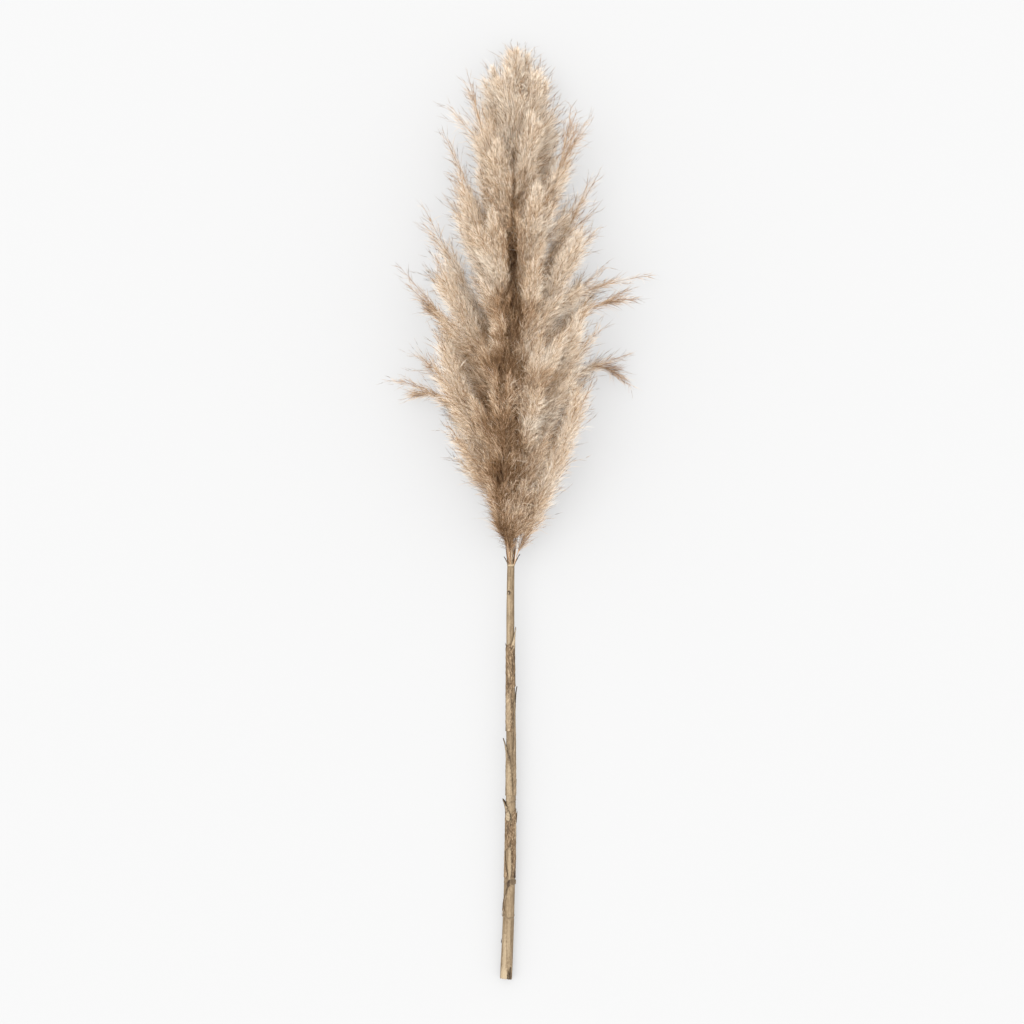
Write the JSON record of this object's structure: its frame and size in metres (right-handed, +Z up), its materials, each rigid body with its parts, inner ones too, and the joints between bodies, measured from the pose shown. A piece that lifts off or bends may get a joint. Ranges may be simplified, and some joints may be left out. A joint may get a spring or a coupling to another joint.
{
  "type": "dried pampas grass stem",
  "caption": "Cut, dried grass stem with a feathery plume, lying on its side; decoration for a vase or a table.",
  "frame": {"origin": "on the surface that the stem lies on, under the middle of its bounding box", "axes": "+Y from the cut end to the tip of the plume, +Z up from the surface, +X to the right seen from above"},
  "size_m": [0.3098, 1.1, 0.1023],
  "materials": {
    "culm": "dry, smooth, faintly ribbed straw",
    "sheath": "dry, papery, mottled",
    "bud": "dry, dull",
    "twig": "dry, dull",
    "plume": "silky hair, soft sheen"
  },
  "bodies": {
    "root": {"culm": "culm", "upper_sheath": "sheath", "middle_sheath_right": "sheath", "middle_sheath_left": "sheath", "lower_sheath": "sheath", "base_sheath_strip": "sheath", "side_bud": "bud", "broken_twig_1": "twig", "broken_twig_2": "twig", "broken_twig_3": "twig", "spray_w1_1": "plume", "spray_w1_2": "plume", "spray_w1_3": "plume", "spray_w1_4": "plume", "spray_w1_5": "plume", "spray_w2_1": "plume", "spray_w2_2": "plume", "spray_w2_3": "plume", "spray_w2_4": "plume", "spray_w2_5": "plume", "spray_w3_1": "plume", "spray_w3_2": "plume", "spray_w3_3": "plume", "spray_w3_4": "plume", "spray_w3_5": "plume", "spray_w4_1": "plume", "spray_w4_2": "plume", "spray_w4_3": "plume", "spray_w4_4": "plume", "spray_w4_5": "plume", "spray_w5_1": "plume", "spray_w5_2": "plume", "spray_w5_3": "plume", "spray_w5_4": "plume", "spray_w5_5": "plume", "spray_w6_1": "plume", "spray_w6_2": "plume", "spray_w6_3": "plume", "spray_w6_4": "plume", "spray_w6_5": "plume", "spray_w7_1": "plume", "spray_w7_2": "plume", "spray_w7_3": "plume", "spray_w7_4": "plume", "spray_w7_5": "plume", "spray_w8_1": "plume", "spray_w8_2": "plume", "spray_w8_3": "plume", "spray_w8_4": "plume", "spray_w8_5": "plume", "spray_w9_1": "plume", "spray_w9_2": "plume", "spray_w9_3": "plume", "spray_w9_4": "plume", "spray_w9_5": "plume", "tip_spray": "plume"}
  },
  "joints": []
}
